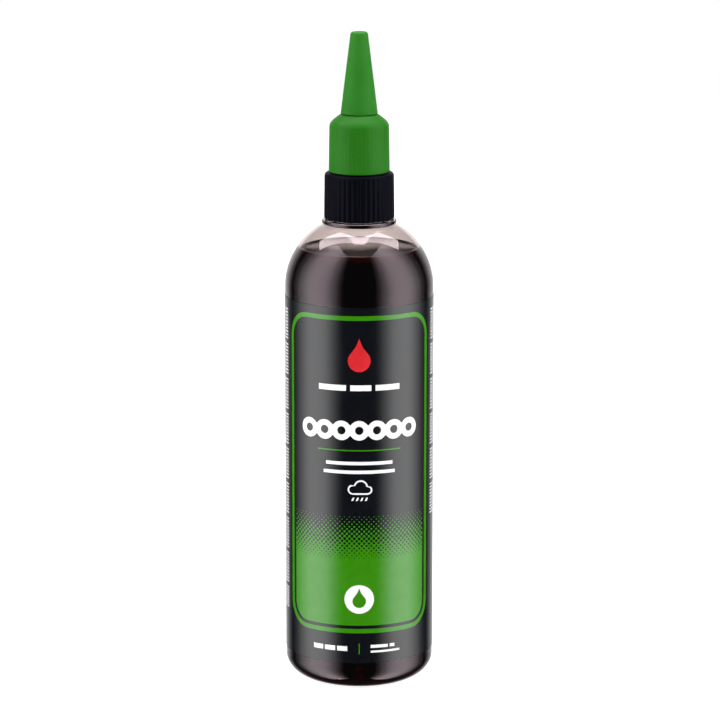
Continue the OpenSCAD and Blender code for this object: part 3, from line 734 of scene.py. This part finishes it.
for side in (-1, 1):
    first, last = [Vector((side * math.sin(a), -math.cos(a), 0)) * stand_off for a in
                   (math.radians(near), math.radians(far))]
    for low, high, lights in lamp_rows:
        light = soft_light((first + last) / 2 + up * (low + high) / 2, (last - first).normalized(),
                           up * side, (last - first).length, high - low, radiance)
        light.visible_diffuse = lights
        light.data.use_nodes = True
        tree = light.data.node_tree
        face = tree.nodes.new("ShaderNodeNewGeometry")
        axes = tree.nodes.new("ShaderNodeSeparateXYZ")
        fall = tree.nodes.new("ShaderNodeValToRGB")
        for at, share in glow[1:-1]:
            fall.color_ramp.elements.new(at)
        for element, (at, share) in zip(fall.color_ramp.elements, glow):
            element.position, element.color = at, (share, share, share, 1)
        tree.links.new(face.outputs["Parametric"], axes.inputs["Vector"])
        tree.links.new(axes.outputs["X"], fall.inputs["Fac"])
        tree.links.new(fall.outputs["Color"], tree.nodes["Emission"].inputs["Strength"])
top_light = soft_light(overhead, Vector((1, 0, 0)), Vector((0, 1, 0)),
                       overhead_w, overhead_w, overhead_radiance)
top_light.visible_glossy = False
for side in (-1, 1):
    across = Vector((side * strip_side, strip_back, 0)).normalized()
    start = Vector((0, strip_y, strip_z + strip_apart * side))
    strip = soft_light(start + across * strip_out, across, up.cross(across),
                       strip_length, strip_w, strip_radiance)
    strip.visible_diffuse = False

# Backdrop
# Camera and transmitted rays see white, and scattered rays a soft grey.
# Mirrored rays see white behind the bottle and a dark room in front; those
# that have passed right through the clear shoulder see white up to a line.
scattered, seen_white, walls_passed = 0.12, 1.0, 5.5
room = (("From Min", 0.58), ("From Max", 1.0), ("To Min", 0.02), ("To Max", 1.0))
line = (("From Min", 0.1795), ("From Max", 0.1845), ("To Min", 1.0), ("To Max", 0.12))
world = bpy.data.worlds.new("studio")
bpy.context.scene.world = world
world.use_nodes = True
tree = world.node_tree
sky = tree.nodes["Background"]
place = tree.nodes.new("ShaderNodeTexCoord")
axes = tree.nodes.new("ShaderNodeSeparateXYZ")
behind = tree.nodes.new("ShaderNodeMapRange")
for name, value in room:
    behind.inputs[name].default_value = value
behind.interpolation_type = "SMOOTHSTEP"
above = tree.nodes.new("ShaderNodeMapRange")
for name, value in line:
    above.inputs[name].default_value = value
right_through = tree.nodes.new("ShaderNodeMath")
right_through.operation = "GREATER_THAN"
right_through.inputs[1].default_value = walls_passed
backdrop = tree.nodes.new("ShaderNodeMix")
path = tree.nodes.new("ShaderNodeLightPath")
seen = tree.nodes.new("ShaderNodeMath")
seen.operation = "MAXIMUM"
plain = tree.nodes.new("ShaderNodeMix")
plain.inputs["A"].default_value, plain.inputs["B"].default_value = scattered, seen_white
mirrored = tree.nodes.new("ShaderNodeMix")
tree.links.new(place.outputs["Generated"], axes.inputs["Vector"])
tree.links.new(axes.outputs["Y"], behind.inputs["Value"])
tree.links.new(axes.outputs["Z"], above.inputs["Value"])
tree.links.new(behind.outputs["Result"], backdrop.inputs["A"])
tree.links.new(above.outputs["Result"], backdrop.inputs["B"])
tree.links.new(path.outputs["Transmission Depth"], right_through.inputs[0])
tree.links.new(right_through.outputs["Value"], backdrop.inputs["Factor"])
tree.links.new(path.outputs["Is Camera Ray"], seen.inputs[0])
tree.links.new(path.outputs["Is Transmission Ray"], seen.inputs[1])
tree.links.new(seen.outputs["Value"], plain.inputs["Factor"])
tree.links.new(path.outputs["Is Glossy Ray"], mirrored.inputs["Factor"])
tree.links.new(plain.outputs["Result"], mirrored.inputs["A"])
tree.links.new(backdrop.outputs["Result"], mirrored.inputs["B"])
tree.links.new(mirrored.outputs["Result"], sky.inputs["Strength"])
sky.inputs["Color"].default_value = (1, 1, 1, 1)

# Camera
# The photograph was taken with a long lens, from a little above. The
# camera stands 1.4 m off and looks down by 12.27 degrees.
focal_length, sensor_w, look_down = 181, 36, 12.27
lens = bpy.data.cameras.new("camera")
lens.lens, lens.sensor_width = focal_length, sensor_w
camera = bpy.data.objects.new("camera", lens)
bpy.context.scene.collection.objects.link(camera)
camera.location = (0.0003, -1.362, 0.4214)
camera.rotation_euler = (math.radians(90 - look_down), 0, 0)
bpy.context.scene.camera = camera
bpy.context.scene.view_settings.view_transform = "Standard"
